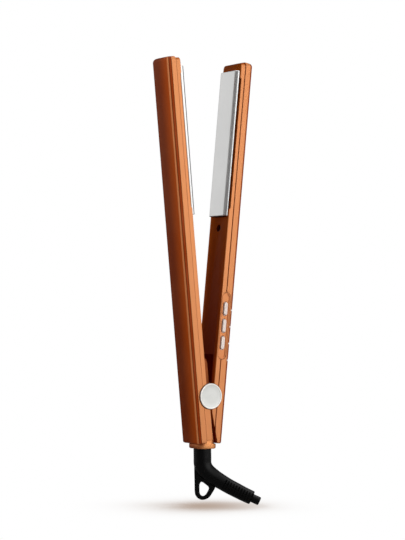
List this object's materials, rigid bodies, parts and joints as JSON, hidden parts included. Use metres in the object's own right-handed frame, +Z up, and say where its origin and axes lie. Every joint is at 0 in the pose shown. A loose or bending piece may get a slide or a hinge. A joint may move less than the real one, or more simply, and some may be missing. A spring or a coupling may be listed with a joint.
{
  "type": "flat iron",
  "caption": "Slim hair straightening iron: hinged copper arms with floating hot plates, side buttons, silver hinge caps and a swivelling cord boot with a hanging loop.",
  "frame": {"origin": "centre of the bounding box, at its lowest point", "axes": "+Z up along the iron from the cord boot to the arm tips, +X from the fixed arm to the moving arm, +Y towards the side without buttons"},
  "size_m": [0.0752, 0.0398, 0.3338],
  "materials": {
    "copper_paint": "satin metallic copper paint on moulded shells",
    "satin_plate": "satin grey coated aluminium",
    "silver_cap": "satin silver",
    "button_silver": "pale silver plastic",
    "lens_white": "clear white lens",
    "black_rubber": "matt black",
    "cord_black": "matt black sheath",
    "steel": "plain steel",
    "ceramic": "fired ceramic heater",
    "heat_plastic": "heat resistant moulding",
    "silicone": "silicone rubber",
    "board_green": "circuit board",
    "lead_insulation": "insulated wire",
    "nylon": "natural nylon"
  },
  "bodies": {
    "fixed_arm": {"fixed_back_cover": "copper_paint", "fixed_inner_frame": "copper_paint", "fixed_screw": "steel", "fixed_plate_tray": "heat_plastic", "fixed_float_pad_upper": "silicone", "fixed_float_pad_lower": "silicone", "hinge_block": "copper_paint", "hinge_pin": "steel", "hinge_cap_front": "silver_cap", "hinge_cap_back": "silver_cap", "torsion_spring": "steel", "terminal_block": "nylon", "supply_lead": "lead_insulation", "fixed_heater_lead": "lead_insulation", "cord_collar": "copper_paint"},
    "fixed_plate_float": {"fixed_plate": "satin_plate", "fixed_heater": "ceramic", "fixed_heater_clip": "steel", "fixed_thermal_fuse": "nylon"},
    "moving_arm": {"moving_back_cover": "copper_paint", "moving_inner_frame": "copper_paint", "moving_screw": "steel", "moving_plate_tray": "heat_plastic", "moving_float_pad_upper": "silicone", "moving_float_pad_lower": "silicone", "button_bezel": "copper_paint", "control_board": "board_green", "power_switch": "nylon", "plus_switch": "nylon", "minus_switch": "nylon", "indicator_lens_1": "lens_white", "indicator_lens_2": "lens_white", "indicator_lens_3": "lens_white", "indicator_lens_4": "lens_white", "power_module": "heat_plastic", "moving_heater_lead": "lead_insulation"},
    "moving_plate_float": {"moving_plate": "satin_plate", "moving_heater": "ceramic", "moving_heater_clip": "steel", "moving_thermistor": "nylon"},
    "power_button_key": {"power_button": "button_silver"},
    "plus_button_key": {"plus_button": "button_silver"},
    "minus_button_key": {"minus_button": "button_silver"},
    "swivel_boot": {"cord_boot": "black_rubber", "cord_stub": "cord_black", "swivel_spigot": "nylon"}
  },
  "joints": [
    {"name": "arm_hinge", "type": "hinge", "parent": "fixed_arm", "child": "moving_arm", "pos_m": [-0.00103, 0.00635, 0.08203], "axis": [0, -1, 0], "range_deg": [0, 10.79], "stiffness_Nm_per_rad": 0.5, "springref_deg": -34.38, "deforming": ["torsion_spring"]},
    {"name": "fixed_plate_press", "type": "slide", "parent": "fixed_arm", "child": "fixed_plate_float", "axis": [-0.9954, 0, -0.0958], "range_m": [0, 0.0005], "stiffness_N_per_m": 2000, "deforming": ["fixed_float_pad_upper", "fixed_float_pad_lower"]},
    {"name": "moving_plate_press", "type": "slide", "parent": "moving_arm", "child": "moving_plate_float", "axis": [0.9948, 0, -0.1019], "range_m": [0, 0.0005], "stiffness_N_per_m": 2000, "deforming": ["moving_float_pad_upper", "moving_float_pad_lower"]},
    {"name": "power_button_press", "type": "slide", "parent": "moving_arm", "child": "power_button_key", "axis": [0, 1, 0], "range_m": [0, 0.0005], "stiffness_N_per_m": 400},
    {"name": "plus_button_press", "type": "slide", "parent": "moving_arm", "child": "plus_button_key", "axis": [0, 1, 0], "range_m": [0, 0.0005], "stiffness_N_per_m": 400},
    {"name": "minus_button_press", "type": "slide", "parent": "moving_arm", "child": "minus_button_key", "axis": [0, 1, 0], "range_m": [0, 0.0005], "stiffness_N_per_m": 400},
    {"name": "cord_swivel", "type": "hinge", "parent": "fixed_arm", "child": "swivel_boot", "pos_m": [-0.00053, 0.00635, 0.04202], "axis": [0, 0, 1], "continuous": true}
  ]
}
